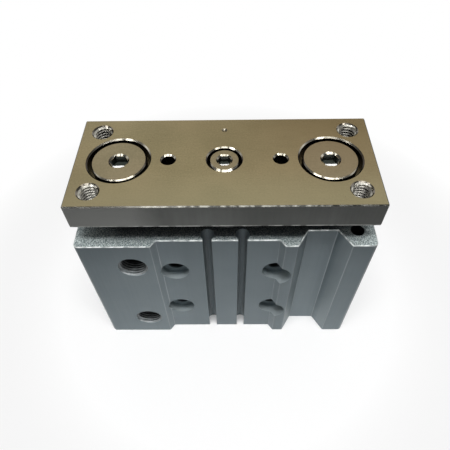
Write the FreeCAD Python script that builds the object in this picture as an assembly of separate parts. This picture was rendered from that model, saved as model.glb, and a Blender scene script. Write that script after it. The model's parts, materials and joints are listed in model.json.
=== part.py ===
import FreeCAD, Part
import math
import os

# Compact guided pneumatic cylinder, retracted.
# Frame: origin at the centre of the housing's bottom face, +Z along the stroke
# towards the tool plate, -Y out of the face with the air ports, +X to the right
# of someone who looks at that face. Sizes are in millimetres.
# A thread is modelled as a plain wall at its nominal diameter.

# ---- working sizes ----
stroke = 20.0
bore_d = 25.0
rod_d = 10.0
guide_rod_d = 16.0

# ---- fits ----
running_gap = 0.03          # radial, shaft in its bush
seal_gap = 0.04             # radial, lip to the wall it wipes
piston_gap = 0.08           # radial, piston in the bore
seat_gap = 0.04             # radial, a piece held in its seat
thread_gap = 0.05           # radial, screw in its thread
ring_play = 0.1             # axial, ring in its groove
stop_gap = 0.3              # piston to bumper at each end

# ---- housing ----
body_width = 93.0
body_depth = 42.0
guide_inset = 14.5          # guide rod axis from the housing's side
corner_r = 1.6
edge_r = 0.5                # along the front profile's edges
end_chamfer = 0.3
port_land_width = 23.6      # flat with the ports, at the left
right_land_width = 7.8
recess_depth = 2.3
recess_slope = 1.6
ridge_width = 3.8
channel_mouth = 16.4
channel_floor = 9.1
channel_depth = 6.0

switch_slot_pitch = 11.0
switch_mouth = 2.9
switch_groove_d = 4.4
switch_groove_depth = 2.4   # recess floor to the round groove's centre

t_slot_inset = 21.5         # slot axis from the housing's side
t_slot_mouth = 5.4
t_slot_width = 8.4
t_slot_lip = 3.0
t_slot_height = 5.2

side_hole_offset = 4.5      # hole axis from the bore's wall, across the housing
side_hole_pitch_z = 24.0
side_hole_top = 17.0        # upper pair below the rod-end face
side_hole_d = 5.6
side_head_d = 9.5
side_head_depth = 5.5
mount_thread_d = 6.0
side_thread_depth = 12.0
bottom_hole_inset_x = 5.5   # hole axis from the housing's side
bottom_hole_inset_y = 6.0
bottom_thread_depth = 15.0
bottom_pin_inset = 28.0     # pin axis from the housing's side
port_corner_thread_depth = 5.8   # shorter, under the side port
core_hole_d = 4.2           # extruded holes behind the bottom threads

pin_d = 4.0
pin_depth = 6.0
pin_slot_length = 4.5

port_d = 9.73
port_depth = 8.0
port_mouth_d = 10.0
port_inset = 16.5           # port axis from the housing's left side
side_port_inset = 7.5       # side port axis from the front
port_offset_low = 1.9       # port axis above the head cover
port_offset_high = 1.1      # port axis below the rod cover's seat
side_passage_d = 4.0
air_passage_d = 2.5
passage_slope = 0.6         # the upper passage's drop to the bore

# ---- covers of the cylinder bore ----
cover_seat_step = 0.7       # radial, bore to seat
ring_groove_step = 0.45     # radial, seat to groove
ring_setback = 2.0
ring_thickness = 1.2
ring_width = 1.7
ring_lug_r = 2.0
ring_lug_hole_d = 1.5
ring_opening = 50.0         # degrees between the lugs' centres
head_cover_thickness = 6.0
head_dish_d = 17.0
head_dish_depth = 1.2
rod_cover_thickness = 7.0
spigot_length = 4.0
spigot_relief = 1.7         # radial, bore to the rod cover's spigot
o_ring_d = 1.6
o_ring_squeeze = 0.15
o_ring_room = 0.6           # axial, wider groove than ring
o_ring_sides = 12           # flats that stand for the ring's round section
bumper_inner_d = 14.0
bumper_width = 2.8
bumper_seat = 1.5
bumper_proud = 1.2
rod_seal_width = 3.0
rod_seal_height = 3.0
rod_seal_cap = 1.5          # cover left above the seal

# ---- piston ----
piston_length = 10.9
piston_skirt_height = 2.0
piston_skirt_relief = 1.5
piston_land = 1.0
magnet_height = 2.4
magnet_width = 2.0
magnet_setback = 0.3
piston_seal_height = 3.0
piston_seal_width = 2.8
piston_pin_d = 7.0          # rod's reduced end through the piston
rivet_d = 9.6
rivet_height = 1.5
rivet_setback = 0.5

# ---- guides ----
bush_wall = 1.5
bush_spacing = 4.0          # oil gap between the two bushes
bush_margin = 1.0           # rod end to the lower bush, extended
rod_end_setback = 1.0       # guide rod above the bottom face
guide_relief = 0.5          # radial, guide rod to the bore below the bushes
guide_ring_setback = 1.2
guide_ring_thickness = 1.0
guide_ring_width = 1.4
guide_groove_step = 0.8
guide_ring_opening = 46.0   # degrees
holder_thickness = 1.0
holder_gap = 0.4            # radial, guide rod to the holder
felt_height = 3.0
rod_chamfer = 0.8

# ---- tool plate ----
plate_gap = 7.0             # housing to plate, retracted
plate_inset_x = 1.0         # plate's edges inside the housing's
plate_inset_y = 2.0
plate_thickness = 9.0
plate_chamfer = 0.35
plate_hole_inset_x = 6.5    # hole axis from the plate's edge
plate_hole_inset_y = 6.0
plate_thread_chamfer = 0.45
plate_pin_chamfer = 0.45
plate_pin_depth = 6.0
rod_recess = 1.0            # guide rods let into the plate's underside
punch_d = 1.8
punch_depth = 0.5
punch_inset = 5.6           # from the plate's back edge
sink_gap = 0.3              # bolt heads below the plate's top

# ---- bolts ----
guide_head_d = 16.8
guide_head_height = 4.0
guide_head_chamfer = 0.35
guide_counterbore_d = 19.0
guide_mouth_chamfer = 0.4
guide_hex = 5.0
guide_bolt_d = 8.0
guide_socket_depth = 2.8
guide_bolt_hold = 12.0      # thread held in the rod
rod_bolt_head_d = 9.8
rod_bolt_head_height = 4.0
rod_bolt_head_chamfer = 0.65
rod_counterbore_d = 10.6
rod_mouth_chamfer = 0.35
rod_bolt_hex = 4.0
rod_bolt_d = 6.0
rod_socket_depth = 2.5
rod_bolt_hold = 12.0
clearance_hole_gap = 0.25   # radial, bolt in the plate
socket_lead = 0.05          # countersink of a socket's corners, share of its width
thread_spare = 2.0          # thread deeper than its screw
plug_length = 7.0
plug_setback = 0.4
plug_hex = 5.0
plug_hex_depth = 3.5

# ---- radii and heights that follow ----
bore_r = bore_d / 2
seat_r = bore_r + cover_seat_step
groove_r = seat_r + ring_groove_step
rod_r = rod_d / 2
guide_r = guide_rod_d / 2
bush_r = guide_r + running_gap + bush_wall
bush_bore_r = bush_r + seat_gap
guide_x = body_width / 2 - guide_inset
sides = (("left", -guide_x), ("right", guide_x))

groove_height = ring_thickness + ring_play
head_cover_z = ring_setback + groove_height
head_seat_z = head_cover_z + head_cover_thickness
piston_z = head_seat_z + bumper_proud + stop_gap
piston_top = piston_z + piston_length
spigot_z = piston_top + stroke + stop_gap + bumper_proud
rod_seat_z = spigot_z + spigot_length
rod_cover_top = rod_seat_z + rod_cover_thickness
body_length = rod_cover_top + groove_height + ring_setback

port_r = port_d / 2
front_y = -body_depth / 2
back_y = body_depth / 2
left_x = -body_width / 2
right_x = body_width / 2
port_low_z = head_seat_z + port_offset_low
port_high_z = rod_seat_z - port_offset_high
port_heights = (port_low_z, port_high_z)
port_x = left_x + port_inset
side_port_y = front_y + side_port_inset
recess_y = front_y + recess_depth
side_hole_x = bore_r + side_hole_offset
side_hole_columns = (-side_hole_x, side_hole_x)
side_hole_heights = (body_length - side_hole_top - side_hole_pitch_z, body_length - side_hole_top)

half_plate_x = body_width / 2 - plate_inset_x
half_plate_y = body_depth / 2 - plate_inset_y
plate_z = body_length + plate_gap
plate_top = plate_z + plate_thickness
guide_rod_top = plate_z + rod_recess
bush_shoulder_z = rod_end_setback + stroke + bush_margin
guide_groove_top = body_length - guide_ring_setback
holder_z = guide_groove_top - guide_ring_thickness - ring_play - holder_thickness
felt_z = holder_z - felt_height
bush_length = (felt_z - bush_shoulder_z - bush_spacing) / 2

UP = FreeCAD.Vector(0, 0, 1)
BACKWARD = FreeCAD.Vector(0, 1, 0)
RIGHTWARD = FreeCAD.Vector(1, 0, 0)


def cylinder(radius, low, high, x=0.0, y=0.0):
    """Upright cylinder from height low to height high."""
    return Part.makeCylinder(radius, high - low, FreeCAD.Vector(x, y, low), UP)


def cone(low_r, high_r, low, high, x=0.0, y=0.0):
    """Upright cone frustum from height low to height high."""
    return Part.makeCone(low_r, high_r, high - low, FreeCAD.Vector(x, y, low), UP)


def block(x0, x1, y0, y1, z0, z1):
    """Box between two corners."""
    return Part.makeBox(x1 - x0, y1 - y0, z1 - z0, FreeCAD.Vector(x0, y0, z0))


def turned(profile, x=0.0):
    """Solid turned about the vertical line at x, from (radius, height) points."""
    points = [FreeCAD.Vector(x + r, 0, z) for r, z in profile]
    face = Part.Face(Part.makePolygon(points + points[:1]))
    return face.revolve(FreeCAD.Vector(x, 0, 0), UP, 360)


def hex_prism(flats, start, direction, length):
    """Hexagonal prism that grows from start along direction."""
    corner_r = flats / math.sqrt(3)
    turn = FreeCAD.Rotation(UP, direction)
    points = []
    for corner in range(6):
        angle = math.radians(60 * corner)
        flat = FreeCAD.Vector(corner_r * math.cos(angle), corner_r * math.sin(angle), 0)
        points.append(start + turn.multVec(flat))
    face = Part.Face(Part.makePolygon(points + points[:1]))
    return face.extrude(direction * length)


def rounded_outline(corners):
    """Closed wire at height zero from (x, y, radius) corners."""
    edges = []
    ends = []
    count = len(corners)
    for index, (x, y, radius) in enumerate(corners):
        here = FreeCAD.Vector(x, y, 0)
        before = FreeCAD.Vector(*corners[index - 1][:2], 0) - here
        after = FreeCAD.Vector(*corners[(index + 1) % count][:2], 0) - here
        before.normalize()
        after.normalize()
        half = before.getAngle(after) / 2
        run = radius / math.tan(half)
        middle = before + after
        middle.normalize()
        centre = here + middle * (radius / math.sin(half))
        start = here + before * run
        end = here + after * run
        edges.append(Part.Arc(start, centre - middle * radius, end).toShape())
        ends.append((start, end))
    for index in range(count):
        edges.append(Part.makeLine(ends[index - 1][1], ends[index][0]))
    return Part.Wire(Part.__sortEdges__(edges))


def body_blank():
    """Extrusion with the front recess, ridge and channel, and broken end edges."""
    recess_left = left_x + port_land_width
    channel_right = right_x - right_land_width
    channel_left = channel_right - channel_mouth
    recess_right = channel_left - ridge_width
    flank = (channel_mouth - channel_floor) / 2
    channel_y = front_y + channel_depth
    outline = rounded_outline([
        (left_x, front_y, corner_r),
        (recess_left, front_y, edge_r),
        (recess_left + recess_slope, recess_y, edge_r),
        (recess_right - recess_slope, recess_y, edge_r),
        (recess_right, front_y, edge_r),
        (channel_left, front_y, edge_r),
        (channel_left + flank, channel_y, edge_r),
        (channel_right - flank, channel_y, edge_r),
        (channel_right, front_y, edge_r),
        (right_x, front_y, corner_r),
        (right_x, back_y, corner_r),
        (left_x, back_y, corner_r),
    ])
    blank = Part.Face(outline).extrude(UP * body_length)
    ends = [face for face in blank.Faces if abs(face.normalAt(0, 0).z) > 0.99]
    rims = [edge for face in ends for edge in face.Edges]
    return blank.makeChamfer(end_chamfer, rims)


def cylinder_bore_cuts():
    """Bore, cover seats and ring grooves of the air cylinder."""
    lead = ring_groove_step
    profile = [
        (0, 0), (seat_r + lead, 0), (seat_r, lead),
        (seat_r, ring_setback), (groove_r, ring_setback),
        (groove_r, head_cover_z), (seat_r, head_cover_z),
        (seat_r, head_seat_z), (bore_r, head_seat_z),
        (bore_r, rod_seat_z), (seat_r, rod_seat_z),
        (seat_r, rod_cover_top), (groove_r, rod_cover_top),
        (groove_r, rod_cover_top + groove_height), (seat_r, rod_cover_top + groove_height),
        (seat_r, body_length - lead), (seat_r + lead, body_length), (0, body_length),
    ]
    return [turned(profile)]


def guide_bore_cuts():
    """Stepped guide bores: bushes, felt and snap ring above a shoulder."""
    relief_r = guide_r + guide_relief
    ring_r = bush_bore_r + guide_groove_step
    groove_low = guide_groove_top - guide_ring_thickness - ring_play
    cuts = []
    for _, x in sides:
        profile = [
            (0, 0), (relief_r + end_chamfer, 0), (relief_r, end_chamfer),
            (relief_r, bush_shoulder_z), (bush_bore_r, bush_shoulder_z),
            (bush_bore_r, groove_low), (ring_r, groove_low),
            (ring_r, guide_groove_top), (bush_bore_r, guide_groove_top),
            (bush_bore_r, body_length - end_chamfer),
            (bush_bore_r + end_chamfer, body_length), (0, body_length),
        ]
        cuts.append(turned(profile, x))
    return cuts


def switch_slot_cuts():
    """Keyhole slots for position switches, along the whole front."""
    groove_y = recess_y + switch_groove_depth
    cuts = []
    for x in (-switch_slot_pitch / 2, switch_slot_pitch / 2):
        groove = cylinder(switch_groove_d / 2, 0, body_length, x, groove_y)
        mouth = block(x - switch_mouth / 2, x + switch_mouth / 2, front_y, groove_y, 0, body_length)
        cuts.append(groove.fuse(mouth))
    return cuts


def t_slot_cuts():
    """Two T-slots along the whole back."""
    lip_y = back_y - t_slot_lip
    cuts = []
    for x in (left_x + t_slot_inset, right_x - t_slot_inset):
        mouth = block(x - t_slot_mouth / 2, x + t_slot_mouth / 2, lip_y, back_y, 0, body_length)
        room = block(x - t_slot_width / 2, x + t_slot_width / 2,
                     lip_y - t_slot_height, lip_y, 0, body_length)
        cuts.append(mouth.fuse(room))
    return cuts


def side_hole_cuts():
    """Four holes from front to back: head recess in front, thread at the back."""
    head_y = front_y + side_head_depth
    thread_y = back_y - side_thread_depth
    cuts = []
    for x in side_hole_columns:
        for z in side_hole_heights:
            head = Part.makeCylinder(side_head_d / 2, side_head_depth,
                                     FreeCAD.Vector(x, front_y, z), BACKWARD)
            hole = Part.makeCylinder(side_hole_d / 2, thread_y - head_y,
                                     FreeCAD.Vector(x, head_y, z), BACKWARD)
            thread = Part.makeCylinder(mount_thread_d / 2, side_thread_depth,
                                       FreeCAD.Vector(x, thread_y, z), BACKWARD)
            cuts.append(head.fuse([hole, thread]))
    return cuts


def bottom_hole_cuts():
    """Four threads in the bottom; three run on into the extrusion's core holes."""
    cuts = []
    for x in (left_x + bottom_hole_inset_x, right_x - bottom_hole_inset_x):
        for y in (front_y + bottom_hole_inset_y, back_y - bottom_hole_inset_y):
            if x < 0 and y < 0:
                cuts.append(cylinder(mount_thread_d / 2, 0, port_corner_thread_depth, x, y))
            else:
                thread = cylinder(mount_thread_d / 2, 0, bottom_thread_depth, x, y)
                core = cylinder(core_hole_d / 2, 0, body_length, x, y)
                cuts.append(thread.fuse(core))
    return cuts


def pin_pair(floor, direction, offset):
    """A round pin hole at the left and one made longer at the right, from their floor out."""
    shift = (pin_slot_length - pin_d) / 2
    length = FreeCAD.Vector(2 * shift, 0, 0)
    across = RIGHTWARD.cross(direction) * (pin_d / 2)
    cuts = []
    for x in (-offset, offset - shift, offset + shift):
        cuts.append(Part.makeCylinder(pin_d / 2, pin_depth, floor + RIGHTWARD * x, direction))
    start = floor + RIGHTWARD * (offset - shift) - across
    corners = [start, start + length, start + length + across * 2, start + across * 2]
    bridge = Part.Face(Part.makePolygon(corners + corners[:1])).extrude(direction * pin_depth)
    return cuts + [bridge]


def pin_hole_cuts():
    """A pair of pin holes in the bottom, and one in the back between the side holes."""
    middle_z = sum(side_hole_heights) / 2
    bottom = pin_pair(FreeCAD.Vector(0, 0, pin_depth), -UP, right_x - bottom_pin_inset)
    back = pin_pair(FreeCAD.Vector(0, back_y - pin_depth, middle_z), BACKWARD, side_hole_x)
    return bottom + back


def port_cuts():
    """Front and side ports at both ends, joined and drilled through to the bore."""
    mouth_r = port_mouth_d / 2
    lead = mouth_r - port_r
    reach = port_x - port_r - left_x
    front_end = FreeCAD.Vector(port_x, front_y + port_depth, 0)
    cuts = []
    for z in port_heights:
        front = FreeCAD.Vector(port_x, front_y, z)
        side = FreeCAD.Vector(left_x, side_port_y, z)
        cuts.append(Part.makeCylinder(port_r, port_depth, front, BACKWARD))
        cuts.append(Part.makeCone(mouth_r, port_r, lead, front, BACKWARD))
        cuts.append(Part.makeCylinder(port_r, port_depth, side, RIGHTWARD))
        cuts.append(Part.makeCone(mouth_r, port_r, lead, side, RIGHTWARD))
        cuts.append(Part.makeCylinder(side_passage_d / 2, reach + port_r, side, RIGHTWARD))
        drop = passage_slope if z == port_high_z else 0.0
        start = front_end + FreeCAD.Vector(0, -air_passage_d / 2, z)
        target = FreeCAD.Vector(0, start.y / 2, z - drop)
        way = target - start
        way.normalize()
        length = (start - target).Length - bore_r + air_passage_d
        cuts.append(Part.makeCylinder(air_passage_d / 2, length, start, way))
    return cuts


def cylinder_body():
    """Housing with every bore, slot, port and mounting hole."""
    cuts = cylinder_bore_cuts() + guide_bore_cuts() + switch_slot_cuts() + t_slot_cuts()
    cuts += side_hole_cuts() + bottom_hole_cuts() + pin_hole_cuts() + port_cuts()
    return body_blank().cut(cuts)


def o_ring_groove(low):
    """(radius, height) corners of a cover's outer ring groove, from its low edge."""
    floor_r = seat_r - o_ring_d + o_ring_squeeze
    high = low + o_ring_d + o_ring_room
    rim_r = seat_r - seat_gap
    return [(rim_r, low), (floor_r, low), (floor_r, high), (rim_r, high)]


def o_ring(low):
    """O-ring in the groove that starts at height low, squeezed to fit."""
    thin_r = (o_ring_d - o_ring_squeeze - seat_gap) / 2
    middle_r = seat_r - seat_gap / 2 - thin_r
    middle_z = low + (o_ring_d + o_ring_room) / 2
    profile = []
    for side in range(o_ring_sides):
        angle = 2 * math.pi * side / o_ring_sides
        profile.append((middle_r + thin_r * math.cos(angle), middle_z + thin_r * math.sin(angle)))
    return turned(profile)


def groove_start(low, thickness):
    """Lower edge of a ring groove centred in a flange of that thickness."""
    return low + (thickness - o_ring_d - o_ring_room) / 2


def bumper_radii():
    inner = bumper_inner_d / 2
    return inner, inner + bumper_width


def head_cover():
    """Disc that closes the head end, with a seat for the bumper."""
    inner, outer = bumper_radii()
    rim_r = seat_r - seat_gap
    dish_r = head_dish_d / 2
    groove = o_ring_groove(groove_start(head_cover_z, head_cover_thickness))
    seat_z = head_seat_z - bumper_seat
    dish_z = head_cover_z + head_dish_depth
    profile = [(0, dish_z), (dish_r - head_dish_depth, dish_z), (dish_r, head_cover_z),
               (rim_r, head_cover_z)]
    profile += groove
    profile += [(rim_r, head_seat_z), (outer + seat_gap, head_seat_z), (outer + seat_gap, seat_z),
                (inner - seat_gap, seat_z), (inner - seat_gap, head_seat_z), (0, head_seat_z)]
    return turned(profile)


def head_gasket():
    return o_ring(groove_start(head_cover_z, head_cover_thickness))


def bumper(seat_z, stop_z):
    """Rubber ring from its seat to the face that the piston meets, rounded there."""
    inner, outer = bumper_radii()
    round_off = bumper_width / 6
    inward = math.copysign(round_off, seat_z - stop_z)
    profile = [(inner, seat_z), (outer, seat_z), (outer, stop_z + inward), (outer - round_off, stop_z),
               (inner + round_off, stop_z), (inner, stop_z + inward)]
    return turned(profile)


def head_bumper():
    return bumper(head_seat_z - bumper_seat, head_seat_z + bumper_proud)


def rod_bumper():
    return bumper(spigot_z + bumper_seat, spigot_z - bumper_proud)


def rod_seal_floor():
    return rod_cover_top - rod_seal_cap - rod_seal_height


def rod_cover():
    """Bush, seal carrier and cover of the rod end, with a spigot into the bore."""
    inner, outer = bumper_radii()
    rim_r = seat_r - seat_gap
    spigot_r = bore_r - spigot_relief
    bush_hole_r = rod_r + running_gap
    seal_r = rod_r + seal_gap + rod_seal_width + seat_gap
    seal_z = rod_seal_floor()
    seal_top = seal_z + rod_seal_height
    seat_z = spigot_z + bumper_seat
    profile = [(bush_hole_r, spigot_z), (inner - seat_gap, spigot_z), (inner - seat_gap, seat_z),
               (outer + seat_gap, seat_z), (outer + seat_gap, spigot_z), (spigot_r, spigot_z),
               (spigot_r, rod_seat_z), (rim_r, rod_seat_z)]
    profile += o_ring_groove(groove_start(rod_seat_z, rod_cover_thickness))
    profile += [(rim_r, rod_cover_top), (bush_hole_r, rod_cover_top), (bush_hole_r, seal_top),
                (seal_r, seal_top), (seal_r, seal_z), (bush_hole_r, seal_z)]
    return turned(profile)


def rod_cover_gasket():
    return o_ring(groove_start(rod_seat_z, rod_cover_thickness))


def rod_seal():
    """U-cup with its lips towards the air."""
    low = rod_seal_floor()
    inner = rod_r + seal_gap
    outer = inner + rod_seal_width
    lip = rod_seal_width / 4
    notch = rod_seal_height / 2
    profile = [(inner, low), (inner + lip, low), ((inner + outer) / 2, low + notch), (outer - lip, low),
               (outer, low), (outer, low + rod_seal_height), (inner + lip / 2, low + rod_seal_height),
               (inner + lip / 2, low + notch), (inner, low + lip)]
    return turned(profile)


def retaining_ring(low):
    """Internal circlip with two eyed lugs, open at the front."""
    outer = groove_r - seat_gap
    inner = outer - ring_width
    lug_reach = seat_r - ring_groove_step - ring_lug_r
    high = low + ring_thickness
    band = cylinder(outer, low, high).cut(cylinder(inner, low, high))
    half = math.radians(ring_opening / 2)
    opening = wedge(outer, half, low, high)
    ring = band.cut(opening)
    lugs = []
    holes = []
    for side in (-1, 1):
        x = side * lug_reach * math.sin(half)
        y = -lug_reach * math.cos(half)
        lugs.append(cylinder(ring_lug_r, low, high, x, y))
        holes.append(cylinder(ring_lug_hole_d / 2, low, high, x, y))
    return ring.fuse(lugs).cut(holes).removeSplitter()


def wedge(radius, half, low, high, x=0.0):
    """Prism over the sector within half of straight forward, seen from x."""
    far = 2 * radius
    points = [FreeCAD.Vector(x, 0, low),
              FreeCAD.Vector(x - far * math.sin(half), -far * math.cos(half), low),
              FreeCAD.Vector(x + far * math.sin(half), -far * math.cos(half), low)]
    return Part.Face(Part.makePolygon(points + points[:1])).extrude(UP * (high - low))


def guide_bush(x, low):
    """Thick-walled slide bearing with broken edges."""
    inner = guide_r + running_gap
    lead = bush_wall / 4
    high = low + bush_length
    profile = [(inner, low + lead), (inner + lead, low), (bush_r - lead, low), (bush_r, low + lead),
               (bush_r, high - lead), (bush_r - lead, high), (inner + lead, high), (inner, high - lead)]
    return turned(profile, x)


def wiper_felt(x):
    inner = guide_r + running_gap
    return turned([(inner, felt_z), (bush_r, felt_z), (bush_r, holder_z), (inner, holder_z)], x)


def felt_holder(x):
    inner = guide_r + holder_gap
    high = holder_z + holder_thickness
    return turned([(inner, holder_z), (bush_r, holder_z), (bush_r, high), (inner, high)], x)


def snap_ring(x):
    """Flat C-ring over the felt holder."""
    low = holder_z + holder_thickness
    high = low + guide_ring_thickness
    outer = bush_bore_r + guide_groove_step - seat_gap
    inner = outer - guide_ring_width
    ring = cylinder(outer, low, high, x).cut(cylinder(inner, low, high, x))
    return ring.cut(wedge(outer, math.radians(guide_ring_opening / 2), low, high, x))


def side_port_plug(z):
    """Socket plug, flush in a side port."""
    start = FreeCAD.Vector(left_x + plug_setback, side_port_y, z)
    screw_r = port_r - thread_gap
    plug = Part.makeCylinder(screw_r, plug_length, start, RIGHTWARD)
    tips = [edge for edge in plug.Edges if edge.Curve.TypeId == "Part::GeomCircle"]
    plug = plug.makeChamfer(end_chamfer, tips)
    return plug.cut(hex_prism(plug_hex, start, RIGHTWARD, plug_hex_depth))


def side_port_plugs():
    return Part.makeCompound([side_port_plug(z) for z in port_heights])


def socket(flats, depth, top, x=0.0):
    """Hexagonal socket with a countersunk mouth."""
    corner = flats / math.sqrt(3)
    lead = socket_lead * flats
    hexagon = hex_prism(flats, FreeCAD.Vector(x, 0, top - depth), UP, depth)
    mouth = cone(corner - lead, corner + lead, top - 2 * lead, top, x)
    return hexagon.fuse(mouth)


def socket_screw(x, top, head_r, head_height, chamfer, flats, depth, screw_r, length):
    """Flat-headed socket screw: its head's top at height top, length under the head."""
    under = top - head_height
    tip = under - length
    lead = screw_r / 5
    profile = [(0, tip), (screw_r - lead, tip), (screw_r, tip + lead), (screw_r, under),
               (head_r, under), (head_r, top - chamfer), (head_r - chamfer, top), (0, top)]
    return turned(profile, x).cut(socket(flats, depth, top, x))


def guide_bolt(x):
    under_z = plate_top - sink_gap - guide_head_height
    length = under_z - guide_rod_top + guide_bolt_hold
    return socket_screw(x, plate_top - sink_gap, guide_head_d / 2, guide_head_height,
                        guide_head_chamfer, guide_hex, guide_socket_depth, guide_bolt_d / 2, length)


def rod_bolt():
    under_z = plate_top - sink_gap - rod_bolt_head_height
    length = under_z - plate_z + rod_bolt_hold
    return socket_screw(0.0, plate_top - sink_gap, rod_bolt_head_d / 2, rod_bolt_head_height,
                        rod_bolt_head_chamfer, rod_bolt_hex, rod_socket_depth, rod_bolt_d / 2, length)


def guide_rod(x):
    """Ground rod with a thread for its bolt in the top."""
    thread_r = guide_bolt_d / 2 + thread_gap
    thread_end = guide_rod_top - guide_bolt_hold - thread_spare
    profile = [(0, rod_end_setback), (guide_r - rod_chamfer, rod_end_setback),
               (guide_r, rod_end_setback + rod_chamfer), (guide_r, guide_rod_top),
               (thread_r, guide_rod_top), (thread_r, thread_end), (0, thread_end - thread_r / 2)]
    return turned(profile, x)


def piston_rod():
    """Rod with a thread in the top and a reduced end riveted under the piston."""
    thread_r = rod_bolt_d / 2 + thread_gap
    thread_end = plate_z - rod_bolt_hold - thread_spare
    pin_r = piston_pin_d / 2
    rivet_r = rivet_d / 2
    rivet_low = piston_z + rivet_setback
    rivet_top = rivet_low + rivet_height
    profile = [(0, rivet_low), (rivet_r - rivet_setback, rivet_low), (rivet_r, rivet_low + rivet_setback),
               (rivet_r, rivet_top), (pin_r, rivet_top), (pin_r, piston_top), (rod_r, piston_top),
               (rod_r, plate_z), (thread_r, plate_z), (thread_r, thread_end),
               (0, thread_end - thread_r / 2)]
    return turned(profile)


def magnet_low():
    return piston_z + piston_skirt_height + piston_land


def piston_seal_low():
    return magnet_low() + magnet_height + piston_land


def piston():
    """Piston with a relieved skirt, a magnet groove and a seal groove."""
    crown_r = bore_r - piston_gap
    skirt_r = bore_r - piston_skirt_relief
    magnet_floor = crown_r - magnet_setback - magnet_width - seat_gap
    seal_floor = bore_r - seal_gap - piston_seal_width - seat_gap
    skirt_z = piston_z + piston_skirt_height
    magnet_z = magnet_low()
    seal_z = piston_seal_low()
    hole_r = piston_pin_d / 2 + seat_gap
    rivet_seat_r = rivet_d / 2 + seat_gap
    rivet_top = piston_z + rivet_setback + rivet_height
    profile = [(rivet_seat_r, piston_z), (skirt_r, piston_z), (skirt_r, skirt_z), (crown_r, skirt_z),
               (crown_r, magnet_z), (magnet_floor, magnet_z), (magnet_floor, magnet_z + magnet_height),
               (crown_r, magnet_z + magnet_height), (crown_r, seal_z), (seal_floor, seal_z),
               (seal_floor, seal_z + piston_seal_height), (crown_r, seal_z + piston_seal_height),
               (crown_r, piston_top), (hole_r, piston_top), (hole_r, rivet_top), (rivet_seat_r, rivet_top)]
    return turned(profile)


def magnet_ring():
    outer = bore_r - piston_gap - magnet_setback
    inner = outer - magnet_width
    low = magnet_low()
    high = low + magnet_height
    return turned([(inner, low), (outer, low), (outer, high), (inner, high)])


def piston_seal():
    """Two-lipped seal, notched on both sides."""
    outer = bore_r - seal_gap
    inner = outer - piston_seal_width
    low = piston_seal_low()
    high = low + piston_seal_height
    lip = piston_seal_width / 4
    waist = piston_seal_width / 3
    middle_r = (inner + outer) / 2
    profile = [(inner, low), (middle_r - lip / 2, low), (middle_r, low + waist), (outer - lip, low),
               (outer, low + lip), (outer - lip / 2, (low + high) / 2), (outer, high - lip),
               (outer - lip, high), (middle_r, high - waist), (middle_r - lip / 2, high), (inner, high)]
    return turned(profile)


def bolt_seat_cuts(x, head_d, chamfer, head_height, screw_d):
    """Stepped hole for a flush screw, with a chamfered mouth."""
    head_r = head_d / 2
    floor = plate_top - sink_gap - head_height
    return [cylinder(head_r, floor, plate_top, x),
            cone(head_r, head_r + chamfer, plate_top - chamfer, plate_top, x),
            cylinder(screw_d / 2 + clearance_hole_gap, plate_z, floor, x)]


def plate_blank():
    """Plate with every outer edge broken."""
    blank = block(-half_plate_x, half_plate_x, -half_plate_y, half_plate_y, plate_z, plate_top)
    return blank.makeChamfer(plate_chamfer, blank.Edges)


def tool_plate():
    """Tool plate with threads, pin holes and seats for the bolts and guide rods."""
    cuts = bolt_seat_cuts(0.0, rod_counterbore_d, rod_mouth_chamfer, rod_bolt_head_height, rod_bolt_d)
    for _, x in sides:
        cuts += bolt_seat_cuts(x, guide_counterbore_d, guide_mouth_chamfer, guide_head_height, guide_bolt_d)
        cuts.append(cylinder(guide_r + seat_gap, plate_z, guide_rod_top, x))
    thread_r = mount_thread_d / 2
    mouth_r = thread_r + plate_thread_chamfer
    hole_x = half_plate_x - plate_hole_inset_x
    hole_y = half_plate_y - plate_hole_inset_y
    for x in (-hole_x, hole_x):
        for y in (-hole_y, hole_y):
            cuts.append(cylinder(thread_r, plate_z, plate_top, x, y))
            cuts.append(cone(thread_r, mouth_r, plate_top - plate_thread_chamfer, plate_top, x, y))
            cuts.append(cone(mouth_r, thread_r, plate_z, plate_z + plate_thread_chamfer, x, y))
    pin_r = pin_d / 2
    for x in side_hole_columns:
        cuts.append(cylinder(pin_r, plate_top - plate_pin_depth, plate_top, x))
        cuts.append(cone(pin_r, pin_r + plate_pin_chamfer, plate_top - plate_pin_chamfer, plate_top, x))
    cuts.append(cone(0.0, punch_d / 2, plate_top - punch_depth, plate_top, 0.0, half_plate_y - punch_inset))
    return plate_blank().cut(cuts)


nodes = {
    "cylinder_body": cylinder_body(),
    "head_cover": head_cover(),
    "head_gasket": head_gasket(),
    "head_retaining_ring": retaining_ring(head_cover_z - ring_thickness),
    "head_bumper": head_bumper(),
    "rod_cover": rod_cover(),
    "rod_cover_gasket": rod_cover_gasket(),
    "rod_seal": rod_seal(),
    "rod_bumper": rod_bumper(),
    "rod_cover_retaining_ring": retaining_ring(rod_cover_top),
    "side_port_plugs": side_port_plugs(),
    "tool_plate": tool_plate(),
    "rod_bolt": rod_bolt(),
    "piston_rod": piston_rod(),
    "piston": piston(),
    "piston_seal": piston_seal(),
    "magnet_ring": magnet_ring(),
}
for side, x in sides:
    nodes[side + "_lower_bearing"] = guide_bush(x, bush_shoulder_z)
    nodes[side + "_upper_bearing"] = guide_bush(x, felt_z - bush_length)
    nodes[side + "_wiper_felt"] = wiper_felt(x)
    nodes[side + "_felt_holder"] = felt_holder(x)
    nodes[side + "_snap_ring"] = snap_ring(x)
    nodes[side + "_guide_rod"] = guide_rod(x)
    nodes[side + "_guide_bolt"] = guide_bolt(x)

os.makedirs("parts", exist_ok=True)
for name, shape in nodes.items():
    shape.exportStep("parts/" + name + ".step")
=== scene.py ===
import json
import math

import bmesh
import bpy
from mathutils import Matrix, Vector

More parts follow.
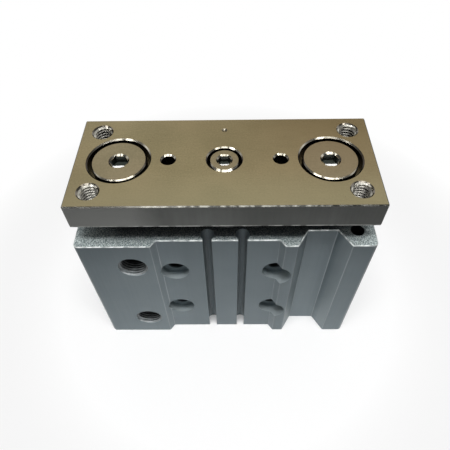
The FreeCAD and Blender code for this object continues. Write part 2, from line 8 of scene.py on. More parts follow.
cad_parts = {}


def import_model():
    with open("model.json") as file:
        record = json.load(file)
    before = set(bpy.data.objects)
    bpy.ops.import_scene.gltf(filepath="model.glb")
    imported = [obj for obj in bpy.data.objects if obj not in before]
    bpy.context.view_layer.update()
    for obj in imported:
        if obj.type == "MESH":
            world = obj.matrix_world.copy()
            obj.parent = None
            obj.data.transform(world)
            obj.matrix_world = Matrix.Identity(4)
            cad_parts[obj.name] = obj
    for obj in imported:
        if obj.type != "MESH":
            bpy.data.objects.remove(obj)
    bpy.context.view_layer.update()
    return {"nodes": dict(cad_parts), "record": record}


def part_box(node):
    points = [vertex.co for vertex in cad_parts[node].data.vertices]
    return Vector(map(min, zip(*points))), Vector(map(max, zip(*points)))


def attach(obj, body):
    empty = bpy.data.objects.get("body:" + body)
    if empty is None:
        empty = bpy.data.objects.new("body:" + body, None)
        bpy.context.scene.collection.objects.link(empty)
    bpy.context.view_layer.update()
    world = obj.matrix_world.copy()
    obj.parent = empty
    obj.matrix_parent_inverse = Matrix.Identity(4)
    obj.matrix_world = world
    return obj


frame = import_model()

MM = 0.001
mounts = {mount["name"]: mount for mount in frame["record"]["mounts"]}


# ---- node graphs ----

MIX_SHARE, MIX_FIRST, MIX_SECOND, MIX_RESULT = 0, 6, 7, 2       # sockets of a colour mix


def is_socket(value):
    return isinstance(value, bpy.types.NodeSocket)


class Graph:
    """A node tree whose nodes are added one call at a time."""

    def __init__(self, tree):
        self.tree = tree

    def node(self, kind, inputs, **settings):
        """New node with settings and inputs; an input may be a value or a socket."""
        node = self.tree.nodes.new(kind)
        for key, value in settings.items():
            setattr(node, key, value)
        for key, value in inputs.items():
            if is_socket(value):
                self.tree.links.new(value, node.inputs[key])
            else:
                node.inputs[key].default_value = value
        return node

    def math(self, operation, first, second=0.0):
        inputs = {0: first, 1: second}
        return self.node("ShaderNodeMath", inputs, operation=operation).outputs[0]

    def plus(self, first, second):
        return self.math("ADD", first, second)

    def minus(self, first, second):
        return self.math("SUBTRACT", first, second)

    def times(self, first, second):
        return self.math("MULTIPLY", first, second)

    def larger(self, first, second):
        return self.math("MAXIMUM", first, second)

    def size(self, value):
        return self.math("ABSOLUTE", value)

    def remap(self, value, low, high, to_low=0.0, to_high=1.0):
        """Takes low to to_low and high to to_high, and goes no further at either end."""
        inputs = {"Value": value, "From Min": low, "From Max": high,
                  "To Min": to_low, "To Max": to_high}
        return self.node("ShaderNodeMapRange", inputs).outputs[0]

    def fall(self, value, low, high):
        """One up to low, and nought from high."""
        return self.remap(value, low, high, 1.0, 0.0)

    def mirrored(self):
        """One for rays that a glossy surface sent."""
        return self.node("ShaderNodeLightPath", {}).outputs["Is Glossy Ray"]

    def seen(self):
        """One for what shows to the eye, straight, in a reflection or through glass."""
        path = self.node("ShaderNodeLightPath", {}).outputs
        rays = self.plus(path["Is Camera Ray"], path["Is Glossy Ray"])
        return self.math("MINIMUM", self.plus(rays, path["Is Transmission Ray"]), 1.0)


class Surface(Graph):
    """A Principled material; places and normals in it are in the CAD frame."""

    def __init__(self, name, metallic, roughness):
        self.material = bpy.data.materials.new(name)
        self.material.use_nodes = True
        super().__init__(self.material.node_tree)
        self.shader = self.tree.nodes["Principled BSDF"]
        self.shader.inputs["Metallic"].default_value = metallic
        self.shader.inputs["Roughness"].default_value = roughness
        self.place = self.tree.nodes.new("ShaderNodeTexCoord").outputs

    def noise(self, size, detail=2.0, stretch=(1, 1, 1)):
        """Noise with features of about that size in metres, longer along a stretched axis."""
        scale = tuple(1 / (size * s) for s in stretch)
        spot = self.node("ShaderNodeMapping", {"Vector": self.place["Object"], "Scale": scale})
        inputs = {"Vector": spot.outputs[0], "Scale": 1.0, "Detail": detail}
        return self.node("ShaderNodeTexNoise", inputs).outputs["Fac"]

    def mix(self, share, first, second):
        """Colour that goes from first to second with share."""
        inputs = {MIX_SHARE: share}
        for key, colour in ((MIX_FIRST, first), (MIX_SECOND, second)):
            inputs[key] = colour if is_socket(colour) else (*colour, 1.0)
        return self.node("ShaderNodeMix", inputs, data_type="RGBA").outputs[MIX_RESULT]

    def normal(self, axis):
        """Component of the face's normal along an axis, by the axis's letter."""
        return self.node("ShaderNodeSeparateXYZ", {0: self.place["Normal"]}).outputs[axis]

    def at(self, axis):
        """Coordinate along an axis, by the axis's letter."""
        return self.node("ShaderNodeSeparateXYZ", {0: self.place["Object"]}).outputs[axis]

    def off_middle(self, axis):
        """Distance from the middle plane that is square to an axis."""
        return self.size(self.at(axis))

    def upright(self):
        """How far the normal leans out of level, nought to one, either way."""
        return self.size(self.normal("Z"))

    def chamfers(self):
        """One on faces that slant at about 45 degrees."""
        tilt = self.upright()
        return self.times(self.remap(tilt, 0.4, 0.5), self.fall(tilt, 0.85, 0.95))

    def near_ends(self, low_z, high_z, close, far):
        """One within close of either height, and nought from far."""
        return self.larger(self.fall(self.at("Z"), low_z + close, low_z + far),
                           self.remap(self.at("Z"), high_z - far, high_z - close))

    def openness(self, distance, only_local=True):
        """One on an open face, less where something stands within that distance."""
        settings = {"samples": 8, "only_local": only_local}
        inputs = {"Distance": distance}
        return self.node("ShaderNodeAmbientOcclusion", inputs, **settings).outputs["AO"]

    def bump(self, height, depth):
        """Normal of a surface that height, nought to one, raises by depth in metres."""
        inputs = {"Height": height, "Strength": 1.0, "Distance": depth}
        return self.node("ShaderNodeBump", inputs).outputs[0]

    def set(self, **sockets):
        """Links sockets to the shader's inputs of those names."""
        for key, value in sockets.items():
            self.tree.links.new(value, self.shader.inputs[key.replace("_", " ")])
        return self.material


# ---- housing ----

CORE_HOLE_X = 41 * MM           # the extruded core holes, from the middle planes
CORE_HOLE_Y = 15 * MM
CORE_HOLE_R = 2.1 * MM
RECESS_DEPTH = 5.4 * MM         # of the screw holes' recesses
RECESS_LIT = 2 * MM             # how far above its floor a recess's wall keeps its painted light
END_CHAMFER = 0.5 * MM
FRONT_SHADE_X = (-20 * MM, -12 * MM, 19 * MM, 26 * MM)      # fades in, then out
TOP_SHADE = 12 * MM             # height of the darker band under the end face
PLATE_REACH = 9 * MM            # painted shade on the end face where the plate is this near
CREVICE_REACH = 6 * MM

BODY_DARK, BODY_LIGHT = (0.156, 0.196, 0.215), (0.186, 0.227, 0.244)
BODY_SPARKLE = (0.25, 0.282, 0.295)
BODY_SHADE = (0.09, 0.115, 0.127)
BODY_EDGE_HIGHLIGHT = (0.42, 0.45, 0.46)
PAINTED_RECESS_LIGHT = (0.42, 0.47, 0.48)
HOLE_SHADE = (0.008, 0.009, 0.01)
CREVICE_SHADE = (0.01, 0.012, 0.014)
EDGE_GLINT_DARK, EDGE_GLINT_LIGHT = (0.30, 0.33, 0.33), (0.78, 0.82, 0.80)
BLASTED_DARK, BLASTED_LIGHT = (0.17, 0.215, 0.22), (0.90, 1.0, 0.98)
UNDER_PLATE_SHADE = (0.008, 0.011, 0.018)


def in_core_hole(s):
    """One on the walls of the core holes."""
    beside = s.minus(s.off_middle("X"), CORE_HOLE_X)
    behind = s.minus(s.off_middle("Y"), CORE_HOLE_Y)
    reach = s.math("SQRT", s.plus(s.times(beside, beside), s.times(behind, behind)))
    return s.fall(reach, CORE_HOLE_R + 0.02 * MM, CORE_HOLE_R + 0.06 * MM)


def body_sides(s, grain, low, high):
    """Anodised faces with painted edge highlights, painted light in recesses and painted shade.
    """
    cloud = s.noise(16 * MM, 3.0)
    drawn = s.noise(0.8 * MM, 3.0, stretch=(1, 1, 40))
    tone = s.plus(s.times(cloud, 0.7), s.times(drawn, 0.3))
    side = s.mix(s.remap(tone, 0.35, 0.65), BODY_DARK, BODY_LIGHT)
    side = s.mix(s.remap(grain, 0.35, 0.75, 0.0, 0.3), side, BODY_SPARKLE)

    ahead = s.times(s.normal("Y"), -1.0)
    # painted highlight on edges whose faces turn toward the front
    front_edge_highlight = s.times(s.remap(ahead, 0.64, 0.74), s.fall(ahead, 0.93, 0.985))
    front_edge_highlight = s.times(front_edge_highlight, s.remap(s.upright(), 0.05, 0.12, 0.5, 0.0))
    side = s.mix(front_edge_highlight, side, BODY_EDGE_HIGHLIGHT)

    middle = s.times(s.remap(s.at("X"), *FRONT_SHADE_X[:2], 0.0, 0.34),
                     s.fall(s.at("X"), *FRONT_SHADE_X[2:]))
    side = s.mix(s.times(middle, s.remap(ahead, 0.2, 0.6)), side, BODY_SHADE)
    side = s.mix(s.remap(s.at("Z"), high.z - TOP_SHADE, high.z, 0.0, 0.4), side, BODY_SHADE)

    turned_in = s.times(s.fall(s.size(ahead), 0.35, 0.6),
                        s.fall(s.off_middle("X"), high.x - 1.5 * MM, high.x - 0.5 * MM))
    depth = s.minus(high.y, s.off_middle("Y"))
    # painted light on the upper walls of the screw recesses
    lit = s.remap(depth, RECESS_DEPTH - RECESS_LIT, RECESS_DEPTH, 0.6, 0.0)
    side = s.mix(s.times(turned_in, lit), side, PAINTED_RECESS_LIGHT)
    # painted shade deep in the recesses' holes and in the core holes
    deep_shade = s.remap(depth, RECESS_DEPTH + 0.1 * MM, RECESS_DEPTH + 0.9 * MM)
    side = s.mix(s.larger(s.times(turned_in, deep_shade), in_core_hole(s)), side, HOLE_SHADE)

    # painted highlight, broken by noise, on the chamfers of the end faces
    edge_glint = s.mix(s.remap(s.noise(1.8 * MM, 3.0), 0.38, 0.62), EDGE_GLINT_DARK, EDGE_GLINT_LIGHT)
    end_edge = s.near_ends(low.z, high.z, END_CHAMFER, END_CHAMFER + 0.1 * MM)
    return s.mix(s.times(s.chamfers(), end_edge), side, edge_glint)


def anodised_body():
    """Satin grey anodised extrusion; its end faces are milled and blasted bright, with painted
    shade under the plate and in crevices.
    """
    s = Surface("anodised body", 0.45, 0.48)
    low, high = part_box("cylinder_body")
    grain = s.noise(0.28 * MM, 3.0)
    # painted shade on the end faces under the plate
    under = s.fall(s.openness(PLATE_REACH, only_local=False), 0.57, 0.90)
    blasted = s.mix(s.remap(grain, 0.42, 0.66), BLASTED_DARK, BLASTED_LIGHT)
    blasted = s.mix(s.times(under, 0.97), blasted, UNDER_PLATE_SHADE)
    end = s.times(s.near_ends(low.z, high.z, 0.1 * MM, 0.3 * MM),
                  s.remap(s.upright(), 0.80, 0.95))
    colour = s.mix(end, body_sides(s, grain, low, high), blasted)
    # painted shade in crevices, from nearby walls
    colour = s.mix(s.remap(s.openness(CREVICE_REACH), 0.0, 0.24), CREVICE_SHADE, colour)
    roughness = s.plus(s.remap(grain, 0.3, 0.7, 0.42, 0.54), s.times(end, -0.04))
    return s.set(Base_Color=colour, Roughness=roughness, Normal=s.bump(grain, 0.04 * MM))


# ---- plate and bolts ----

CORNER_X = 35.2 * MM            # chamfers further out than both are the corner threads'
CORNER_Y = 9.4 * MM
RIM_SHARE = 0.955               # of the plate's half size, where its outer edges begin
LOW_EDGE = 0.6 * MM             # height of the painted highlight along the plate's bottom edge
BROWN_X = (-30 * MM, 35 * MM)   # the top turns darker and browner to the right and back over these places
BROWN_Y = (-12 * MM, 16 * MM)
GREEN_Y = (-16 * MM, -4 * MM)
FRONT_LEFT_X = (-45 * MM, -27 * MM, -18 * MM)               # painted reflection: light, less so, and no more
FRONT_MIDDLE_X = (-4 * MM, 7 * MM, 14 * MM, 34 * MM)        # painted shade: dark, fades in, then out
FRONT_RIGHT_X = (28 * MM, 44 * MM)
WHITE_EDGE_X = (-34 * MM, -8 * MM)
SOCKET_FLOOR = 1.6 * MM         # this far below a bolt's face, level means a socket's floor
SOCKET_WHITE_Y = (0.7 * MM, 0.9 * MM)                       # where its painted white highlight ends

CHAMFER_GLEAM_DARK, CHAMFER_GLEAM_LIGHT = (0.30, 0.28, 0.22), (0.62, 0.58, 0.49)
CHAMFER_SHADE = (0.05, 0.04, 0.03)
COUNTERBORE_SHADE = (0.022, 0.021, 0.018)


def scaled(colour, *shares):
    return tuple(part * share for part, share in zip(colour, shares))


class Nickel(Surface):
    """Satin nickel over ground metal: smoother chamfers with a painted highlight, and side
    faces in painted shade.
    """

    def __init__(self, name, light, dark, shaded_side_light, shaded_side_dark):
        super().__init__(name, 1.0, 0.34)
        self.ground = self.noise(0.25 * MM, 3.0, stretch=(30, 1, 1))
        self.cloud = self.noise(14 * MM, 3.0)
        self.speck = self.noise(0.5 * MM, 3.0)
        self.slanted = self.chamfers()
        self.top = self.toned_top(light, dark)
        # side faces and underside: painted shade, much darker than the top
        self.sides = self.mix(self.remap(self.cloud, 0.35, 0.65), shaded_side_dark, shaded_side_light)
        # painted highlight on chamfers that face the front, painted shade on the rest
        chamfer_gleam = self.mix(self.remap(self.noise(5 * MM, 3.0), 0.35, 0.6),
                          CHAMFER_GLEAM_DARK, CHAMFER_GLEAM_LIGHT)
        away = self.remap(self.normal("Y"), -0.45, -0.1)
        self.lit_chamfers = self.mix(away, chamfer_gleam, CHAMFER_SHADE)

    def toned_top(self, light, dark):
        """Ground top, darker and browner to the right and back, greener along the front."""
        tone = self.plus(self.times(self.cloud, 0.35), self.times(self.ground, 0.2))
        tone = self.plus(tone, self.times(self.speck, 0.45))
        top = self.mix(self.remap(tone, 0.42, 0.58), dark, light)
        tint = self.remap(self.noise(28 * MM, 2.0), 0.35, 0.65, 0.0, 0.22)
        top = self.mix(tint, top, scaled(light, 1.05, 0.86, 0.95))
        brown = self.times(self.remap(self.at("X"), *BROWN_X),
                           self.remap(self.at("Y"), *BROWN_Y, 0.0, 0.65))
        top = self.mix(brown, top, scaled(light, 0.56, 0.45, 0.34))
        green = self.remap(self.at("Y"), *GREEN_Y, 0.5, 0.0)
        return self.mix(green, top, scaled(light, 1.0, 1.06, 1.14))

    def colour(self):
        """Top, side faces in painted shade and chamfers with painted highlights, each on its
        own faces.
        """
        flat = self.mix(self.remap(self.normal("Z"), 0.3, 0.5), self.sides, self.top)
        return self.mix(self.slanted, flat, self.lit_chamfers)

    def finished(self, colour):
        roughness = self.plus(self.remap(self.cloud, 0.3, 0.7, 0.30, 0.34),
                              self.remap(self.speck, 0.3, 0.7, -0.03, 0.05))
        roughness = self.minus(roughness, self.times(self.slanted, 0.16))
        height = self.plus(self.times(self.ground, 0.6), self.times(self.speck, 0.4))
        height = self.times(height, self.minus(1.0, self.slanted))
        bump = self.bump(height, 0.012 * MM)
        return self.set(Base_Color=colour, Roughness=roughness, Normal=bump)


def nickel_plate():
    """Tool plate: streaked side faces with painted reflections and shade, and painted
    highlights along its edges.
    """
    s = Nickel("nickel plate", (0.58, 0.49, 0.27), (0.46, 0.385, 0.21),
               (0.165, 0.170, 0.163), (0.130, 0.135, 0.128))
    low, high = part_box("tool_plate")
    x = s.at("X")

    streak = s.remap(s.noise(1.2 * MM, 3.0, stretch=(1, 1, 12)), 0.35, 0.7)
    s.sides = s.mix(s.times(streak, 0.15), s.sides, (0.24, 0.25, 0.245))
    # painted reflection, lighter toward the left and right ends of the side faces
    left_gleam = s.times(s.remap(x, *FRONT_LEFT_X[:2], 0.95, 0.65), s.fall(x, *FRONT_LEFT_X[1:]))
    outward = s.plus(left_gleam, s.remap(x, *FRONT_RIGHT_X, 0.0, 0.14))
    s.sides = s.mix(outward, s.sides, (0.36, 0.365, 0.35))
    # painted shade across the middle of the front
    middle_shade = s.times(s.remap(x, *FRONT_MIDDLE_X[:2], 0.0, 0.5), s.fall(x, *FRONT_MIDDLE_X[2:]))
    s.sides = s.mix(middle_shade, s.sides, (0.07, 0.073, 0.068))
    # painted highlight, broken by noise, along the bottom edge
    bottom_edge_highlight = s.times(s.fall(s.at("Z"), low.z + LOW_EDGE, low.z + LOW_EDGE + 0.2 * MM),
                       s.remap(s.noise(2.5 * MM, 3.0), 0.38, 0.58))
    s.sides = s.mix(s.times(bottom_edge_highlight, 0.8), s.sides, (0.66, 0.67, 0.64))

    out = s.larger(s.math("DIVIDE", s.off_middle("X"), high.x),
                   s.math("DIVIDE", s.off_middle("Y"), high.y))
    rim = s.remap(out, RIM_SHARE, RIM_SHARE + 0.01)
    # painted shade inside the holes and counterbores and on the underside
    s.sides = s.mix(rim, COUNTERBORE_SHADE, s.sides)

    # painted highlight along the outer edges, broken by noise, whiter toward the left
    plate_edge_glints = s.remap(s.noise(1.6 * MM, 4.0), 0.42, 0.62)
    plate_edge_glints = s.mix(plate_edge_glints, (0.05, 0.05, 0.045), (0.22, 0.217, 0.195))
    plate_edge_glints = s.mix(s.remap(x, *WHITE_EDGE_X, 0.5, 0.0), plate_edge_glints, (0.62, 0.60, 0.54))
    s.lit_chamfers = s.mix(rim, s.lit_chamfers, plate_edge_glints)
    corner = s.times(s.remap(s.off_middle("X"), CORNER_X, CORNER_X + 0.2 * MM),
                     s.remap(s.off_middle("Y"), CORNER_Y, CORNER_Y + 0.1 * MM))
    corner = s.times(corner, s.minus(1.0, rim))
    s.lit_chamfers = s.mix(corner, s.lit_chamfers, (0.20, 0.18, 0.15))
    return s.finished(s.colour())


def nickel_bolts():
    """Guide and rod bolts: sockets in painted shade, whose floor has a painted white highlight
    at its near side.
    """
    s = Nickel("nickel bolts", (0.55, 0.465, 0.28), (0.45, 0.38, 0.225),
               (0.07, 0.075, 0.068), (0.04, 0.043, 0.038))
    face_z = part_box("rod_bolt")[1].z
    sunk = s.times(s.remap(s.normal("Z"), 0.9, 0.98),
                   s.fall(s.at("Z"), face_z - SOCKET_FLOOR, face_z - SOCKET_FLOOR + 0.6 * MM))
    # painted highlight on the near side of the socket floor
    far_side = s.remap(s.at("Y"), *SOCKET_WHITE_Y)
    socket_floor_highlight = s.mix(far_side, (0.92, 0.92, 0.90), (0.03, 0.035, 0.03))
    s.set(Metallic=s.minus(1.0, sunk))
    return s.finished(s.mix(sunk, s.colour(), socket_floor_highlight))


# ---- other materials ----

CREST_REACH = 0.7 * MM          # thread roots get painted shade for walls this near
FIRST_TURN = 1.0 * MM           # depth of the plate thread's first turn with a painted highlight
BODY_THREAD_LIT = (2.6 * MM, 5.2 * MM)                      # depths where its light ends


def turned_metal(name, light, dark, roughness):
    """Turned or ground metal with fine rings round the vertical axis."""
    s = Surface(name, 1.0, roughness)
    rings = s.noise(0.12 * MM, 2.0, stretch=(60, 60, 1))
    cloud = s.noise(6 * MM, 3.0)
    colour = s.mix(s.remap(cloud, 0.35, 0.65), dark, light)
    rough = s.plus(s.remap(rings, 0.3, 0.7, -0.05, 0.05), roughness)
    return s.set(Base_Color=colour, Roughness=rough, Normal=s.bump(rings, 0.01 * MM))


def soft_matt(name, light, dark, size, depth, roughness):
    """Rubber, felt or bonded powder, with grain of that size and depth."""
    s = Surface(name, 0.0, roughness)
    grain = s.noise(size, 5.0)
    colour = s.mix(s.remap(grain, 0.35, 0.65), dark, light)
    return s.set(Base_Color=colour, Normal=s.bump(grain, depth))


class CutThread(Surface):
    """Thread with bright crests and roots in painted shade."""

    def __init__(self, name, light, dark, metallic, roughness):
        super().__init__(name, metallic, roughness)
        cloud = self.noise(1.6 * MM, 3.0)
        self.set(Roughness=self.remap(cloud, 0.3, 0.7, roughness - 0.04, roughness + 0.06))
        metal = self.mix(self.remap(cloud, 0.38, 0.62), dark, light)
        # painted shade in the roots, where the flanks stand close
        crest = self.remap(self.openness(CREST_REACH), 0.36, 0.66)
        self.colour = self.mix(crest, (0.008, 0.008, 0.007), metal)


def plated_thread():
    """Thread of the plate, with a painted highlight on its first turn."""
    s = CutThread("plated thread", (0.60, 0.58, 0.52), (0.38, 0.365, 0.33), 1.0, 0.26)
    face_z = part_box("tool_plate")[1].z
    first_turn_highlight = s.remap(s.at("Z"), face_z - FIRST_TURN - 0.3 * MM, face_z - FIRST_TURN)
    return s.set(Base_Color=s.mix(first_turn_highlight, s.colour, (0.70, 0.68, 0.60)))


def anodised_thread():
    """Thread of the housing, lit on the lower wall of a level hole and dark inside."""
    s = CutThread("anodised thread", (0.62, 0.66, 0.67), (0.40, 0.43, 0.44), 0.6, 0.34)
    half_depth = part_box("cylinder_body")[1].y
    depth = s.math("MINIMUM", s.minus(half_depth, s.off_middle("Y")), s.at("Z"))
    unlit = s.remap(s.normal("Z"), 0.15, 0.75, 0.75, 0.0)
    colour = s.mix(unlit, s.colour, (0.06, 0.066, 0.07))
    colour = s.mix(s.remap(depth, *BODY_THREAD_LIT), colour, (0.012, 0.013, 0.014))
    return s.set(Base_Color=colour)


finishes = {
    "body_aluminium": anodised_body(),
    "nickel_plate": nickel_plate(),
    "bolt_nickel": nickel_bolts(),
    "hard_chrome": turned_metal(
        "hard chrome", (0.62, 0.63, 0.65), (0.55, 0.56, 0.58), 0.16),
    "cover_aluminium": turned_metal(
        "turned aluminium", (0.60, 0.61, 0.62), (0.48, 0.49, 0.50), 0.34),
    "piston_aluminium": turned_metal(
        "chromated aluminium", (0.62, 0.60, 0.50), (0.52, 0.50, 0.42), 0.36),
    "spring_steel": turned_metal(
        "phosphated spring steel", (0.11, 0.11, 0.12), (0.06, 0.06, 0.065), 0.42),
    "plug_steel": turned_metal(
        "zinc-plated steel", (0.50, 0.50, 0.47), (0.38, 0.38, 0.36), 0.36),
    "bush_bronze": turned_metal(
        "bearing bronze", (0.60, 0.42, 0.20), (0.50, 0.34, 0.16), 0.34),
    "nitrile_rubber": soft_matt(
        "nitrile rubber", (0.035, 0.035, 0.038), (0.02, 0.02, 0.022), 0.5 * MM, 0.02 * MM, 0.6),
    "bumper_rubber": soft_matt(
        "bumper urethane", (0.07, 0.065, 0.05), (0.045, 0.04, 0.03), 0.8 * MM, 0.02 * MM, 0.5),
    "felt": soft_matt(
        "oiled felt", (0.52, 0.50, 0.42), (0.36, 0.34, 0.28), 0.4 * MM, 0.15 * MM, 0.9),
    "magnet_ferrite": soft_matt(
        "bonded ferrite", (0.06, 0.06, 0.065), (0.04, 0.04, 0.045), 0.3 * MM, 0.02 * MM, 0.5),
}
plate_thread_finish = plated_thread()
body_thread_finish = anodised_thread()

for part in frame["record"]["subparts"]:
    cad = frame["nodes"][part["node"]]
    cad.data.materials.clear()
    cad.data.materials.append(finishes[part["material_slot"]])


# ---- threads ----

M6_PITCH = 1.0 * MM
M6_HEIGHT = 0.54 * MM
PIPE_PITCH = 0.907 * MM
PIPE_HEIGHT = 0.58 * MM
PIPE_TAPER = 1 / 32
PIPE_START = 0.55               # turns from the right, where the thread begins
SIDE_THREAD_DEPTH = 12 * MM
BOTTOM_THREAD_DEPTH = 15 * MM
PORT_CORNER_THREAD_DEPTH = 5.8 * MM

RIDGE_STEPS = 48                # sections of a thread in each turn
RUNOUT_STEPS = RIDGE_STEPS / 4  # sections over which an end rises to full height
END_HEIGHT = 0.04               # share of the full height at the very end
ROOT_SINK = 0.02 * MM           # a ridge's foot lies this far inside its wall
FOOT_HALF = 0.47                # half widths of foot and crest, as shares of the pitch
CREST_HALF = 0.09


def across(axis):
    """Two row axes square to axis, in X, Y, Z order."""
    return [Vector(row) for row, part in zip(Matrix.Identity(3), axis) if abs(part) < 0.5]


def pattern_points(mount):
    """Centres of the holes of a rectangular bolt pattern."""
    first, second = across(mount["axis"])
    centre = Vector(mount["pos_m"])
    half_x = mount["dims"]["spacing_x_mm"] * MM / 2
    half_y = mount["dims"]["spacing_y_mm"] * MM / 2
    return [centre + first * i * half_x + second * j * half_y
            for i in (-1, 1) for j in (-1, 1)]


def add_ridge(mesh, mouth, outward, wall_r, height, pitch, depth, taper=0.0, start=0.0):
    """Adds a helical thread ridge on the wall of a hole to the bmesh."""
    inward = -Vector(outward).normalized()
    right, up = across(outward)
    turns = depth / pitch - 1.0
    count = int(turns * RIDGE_STEPS)
    foot_r = wall_r + ROOT_SINK
    sections = []
    for step in range(count + 1):
        angle = 2 * math.pi * (start + step / RIDGE_STEPS)
        radial = right * math.cos(angle) + up * math.sin(angle)
        along = pitch * (0.5 + step / RIDGE_STEPS)
        share = min(1.0, step / RUNOUT_STEPS, (count - step) / RUNOUT_STEPS)
        tip_r = wall_r - height * max(share, END_HEIGHT) - taper * along * share
        profile = ((foot_r, -FOOT_HALF), (tip_r, -CREST_HALF),
                   (tip_r, CREST_HALF), (foot_r, FOOT_HALF))
        sections.append([mesh.verts.new(mouth + radial * r + inward * (along + pitch * shift))
                         for r, shift in profile])
    for before, after in zip(sections, sections[1:]):
        for i in range(4):
            j = (i + 1) % 4
            side = mesh.faces.new((before[i], before[j], after[j], after[i]))
            side.smooth = True
            mesh.edges.get((before[i], after[i])).smooth = False
    mesh.faces.new(sections[0][::-1])
    mesh.faces.new(sections[-1])


def finished_mesh(mesh, name, body, material):
    """Object from a bmesh that rides on a body."""
    bmesh.ops.recalc_face_normals(mesh, faces=mesh.faces)
    data = bpy.data.meshes.new(name)
    mesh.to_mesh(data)
    mesh.free()
    data.materials.append(material)
    piece = bpy.data.objects.new(name, data)
    bpy.context.scene.collection.objects.link(piece)
    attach(piece, body)
    return piece


def m6_threads(name, body, material, depth_at):
    """One piece with the M6 threads of the mount of that name; depth_at gives each depth."""
    mount = mounts[name]
    wall_r = mount["dims"]["hole_r_mm"] * MM
    mesh = bmesh.new()
    for point in pattern_points(mount):
        add_ridge(mesh, point, mount["axis"], wall_r, M6_HEIGHT, M6_PITCH, depth_at(point))
    return finished_mesh(mesh, name, body, material)


def port_threads():
    """Taper pipe threads of the two front ports."""
    mesh = bmesh.new()
    for name in ("rod_end_port", "head_end_port"):
        mount = mounts[name]
        wall_r = mount["dims"]["r_mm"] * MM
        depth = mount["dims"]["length_mm"] * MM
        add_ridge(mesh, Vector(mount["pos_m"]), mount["axis"], wall_r, PIPE_HEIGHT,
                  PIPE_PITCH, depth, PIPE_TAPER, PIPE_START)
    return finished_mesh(mesh, "port_threads", "housing",
                         body_thread_finish)


def through_plate(point):
    low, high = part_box("tool_plate")
    return high.z - low.z


def bottom_depth(point):
    """The thread under the side port is short."""
    under_port = point.x < 0 and point.y < 0
    return PORT_CORNER_THREAD_DEPTH if under_port else BOTTOM_THREAD_DEPTH


m6_threads("plate_threads", "carriage", plate_thread_finish, through_plate)
m6_threads("back_threads", "housing", body_thread_finish,
           lambda point: SIDE_THREAD_DEPTH)
m6_threads("bottom_threads", "housing", body_thread_finish, bottom_depth)
port_threads()


# ---- floor and surroundings ----

FLOOR_HALF = 1.5
FLOOR_WHITE = 0.55              # share of the near floor's look that no shadow darkens
NEAR_FLOOR = 0.07               # the floor takes shadows within this reach
FAR_FLOOR = 0.13                # plain white from here on
MIRRORED_NEAR_REACH = 0.025     # in reflections the floor fades between these reaches
MIRRORED_FAR_REACH = 0.085
MIRRORED_FAR = 0.25             # how bright the far floor is in reflections
CONTACT_REACH = 8 * MM          # the floor darkens with the housing this near
WORLD_STRENGTH = 0.16
HORIZON_TOP = (0.32, 0.45)      # heights between which the white horizon ends


def floor():
    """Pale floor under the housing, white to the eye and in reflections."""
    mesh = bmesh.new()
    mesh.faces.new([mesh.verts.new((x * FLOOR_HALF, y * FLOOR_HALF, 0))
                    for x, y in ((-1, -1), (1, -1), (1, 1), (-1, 1))])
    data = bpy.data.meshes.new("floor")
    mesh.to_mesh(data)
    mesh.free()

    s = Surface("pale floor", 0.0, 0.7)
    s.shader.inputs["Specular IOR Level"].default_value = 0.2
    spot = {0: s.place["Object"]}
    reach = s.node("ShaderNodeVectorMath", spot, operation="LENGTH").outputs["Value"]
    near = s.fall(reach, NEAR_FLOOR, FAR_FLOOR)
    pale = s.mix(s.noise(60 * MM, 2.0), (0.88, 0.88, 0.88), (0.90, 0.90, 0.90))
    s.set(Base_Color=s.mix(near, (0.30, 0.30, 0.30), pale))

    faded = s.remap(reach, MIRRORED_NEAR_REACH, MIRRORED_FAR_REACH, 0.0, 1.0 - MIRRORED_FAR)
    strength = s.minus(1.0, s.times(s.mirrored(), faded))
    light = {"Color": (1, 1, 1, 1), "Strength": strength}
    white = s.node("ShaderNodeEmission", light).outputs[0]
    unshaded = s.times(s.remap(near, 0.0, 1.0, 1.0, FLOOR_WHITE),
                       s.remap(s.openness(CONTACT_REACH, only_local=False), 0.2, 0.7))
    looks = {0: s.times(s.seen(), unshaded), 1: s.shader.outputs[0], 2: white}
    blend = s.node("ShaderNodeMixShader", looks).outputs[0]
    s.tree.links.new(blend, s.tree.nodes["Material Output"].inputs["Surface"])

    data.materials.append(s.material)
    plane = bpy.data.objects.new("floor", data)
    bpy.context.scene.collection.objects.link(plane)


def world():
    """Even pale surroundings, with a white horizon to the eye and in reflections."""
    scene_world = bpy.data.worlds.new("studio")
    scene_world.use_nodes = True
    g = Graph(scene_world.node_tree)
    way = g.node("ShaderNodeTexCoord", {}).outputs["Generated"]
    height = g.node("ShaderNodeSeparateXYZ", {0: way}).outputs["Z"]
    horizon = g.remap(height, *HORIZON_TOP, 1.0 - WORLD_STRENGTH, 0.0)
    background = g.tree.nodes["Background"]
    background.inputs["Color"].default_value = (1, 1, 1, 1)
    strength = g.plus(g.times(g.seen(), horizon), WORLD_STRENGTH)
    g.tree.links.new(strength, background.inputs["Strength"])
    bpy.context.scene.world = scene_world


# ---- lamps and camera ----

TARGET = Vector((0, 0, 0.05))   # the lamps face this point

FOCAL_SHARE = 0.9602            # focal length over picture width
SENSOR_MM = 36.0
CAMERA_PLACE = Vector((1.6, -98.2, 162.8)) * MM
CAMERA_ELEVATION = 53.59
CAMERA_AZIMUTH = 1.56
CAMERA_ROLL = -1.58
CAMERA_SHIFT = (0.0040, 0.0456)


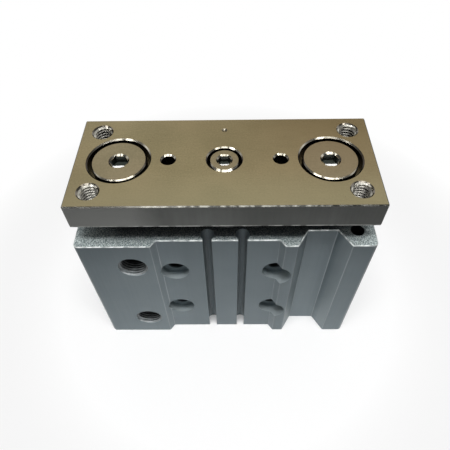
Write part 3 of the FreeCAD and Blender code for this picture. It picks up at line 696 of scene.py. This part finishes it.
def direction(azimuth, elevation):
    """Unit vector by degrees; azimuth 0 is in front, 90 to the right."""
    az = math.radians(azimuth)
    el = math.radians(elevation)
    return Vector((math.sin(az) * math.cos(el), -math.cos(az) * math.cos(el), math.sin(el)))


def area_light(name, azimuth, elevation, distance, size, power, fills=True, mirrored=True):
    """Lamp aimed at the object.

    One that doesn't fill shows only in reflections, one that isn't mirrored only lights.
    """
    data = bpy.data.lights.new(name, "AREA")
    data.shape = "RECTANGLE"
    data.size, data.size_y = size
    data.energy = power
    lamp = bpy.data.objects.new(name, data)
    way = direction(azimuth, elevation)
    lamp.location = TARGET + way * distance
    lamp.rotation_euler = way.to_track_quat("Z", "Y").to_euler()
    lamp.visible_diffuse = fills
    lamp.visible_glossy = mirrored
    bpy.context.scene.collection.objects.link(lamp)


def camera():
    """Camera above and in front, looking down at the plate."""
    back = direction(CAMERA_AZIMUTH, CAMERA_ELEVATION)
    right = direction(CAMERA_AZIMUTH + 90, 0)
    up = back.cross(right)
    roll = math.radians(CAMERA_ROLL)
    tilted_right = right * math.cos(roll) + up * math.sin(roll)
    tilted_up = up * math.cos(roll) - right * math.sin(roll)
    data = bpy.data.cameras.new("camera")
    data.sensor_width = SENSOR_MM
    data.lens = FOCAL_SHARE * SENSOR_MM
    data.shift_x, data.shift_y = CAMERA_SHIFT
    data.clip_start = 0.01
    view = bpy.data.objects.new("camera", data)
    turn = Matrix((tilted_right, tilted_up, back)).transposed()
    view.matrix_world = Matrix.Translation(CAMERA_PLACE) @ turn.to_4x4()
    bpy.context.scene.collection.objects.link(view)
    bpy.context.scene.camera = view


floor()
world()
area_light("overhead", 0, 77, 0.8, (0.5, 0.16), 7.0, mirrored=False)
area_light("overhead gleam", 0, 77, 0.8, (0.5, 0.3), 1.6, fills=False)
area_light("ceiling", 165, 55, 0.9, (1.4, 0.7), 1.05)
area_light("left window", -52, 45, 0.6, (0.26, 0.07), 0.42, fills=False)
area_light("right window", 42, 45, 0.6, (0.24, 0.07), 0.40, fills=False)
area_light("front window", 0, 47, 0.6, (0.30, 0.12), 0.45, fills=False)
camera()
bpy.context.scene.view_settings.view_transform = "Standard"
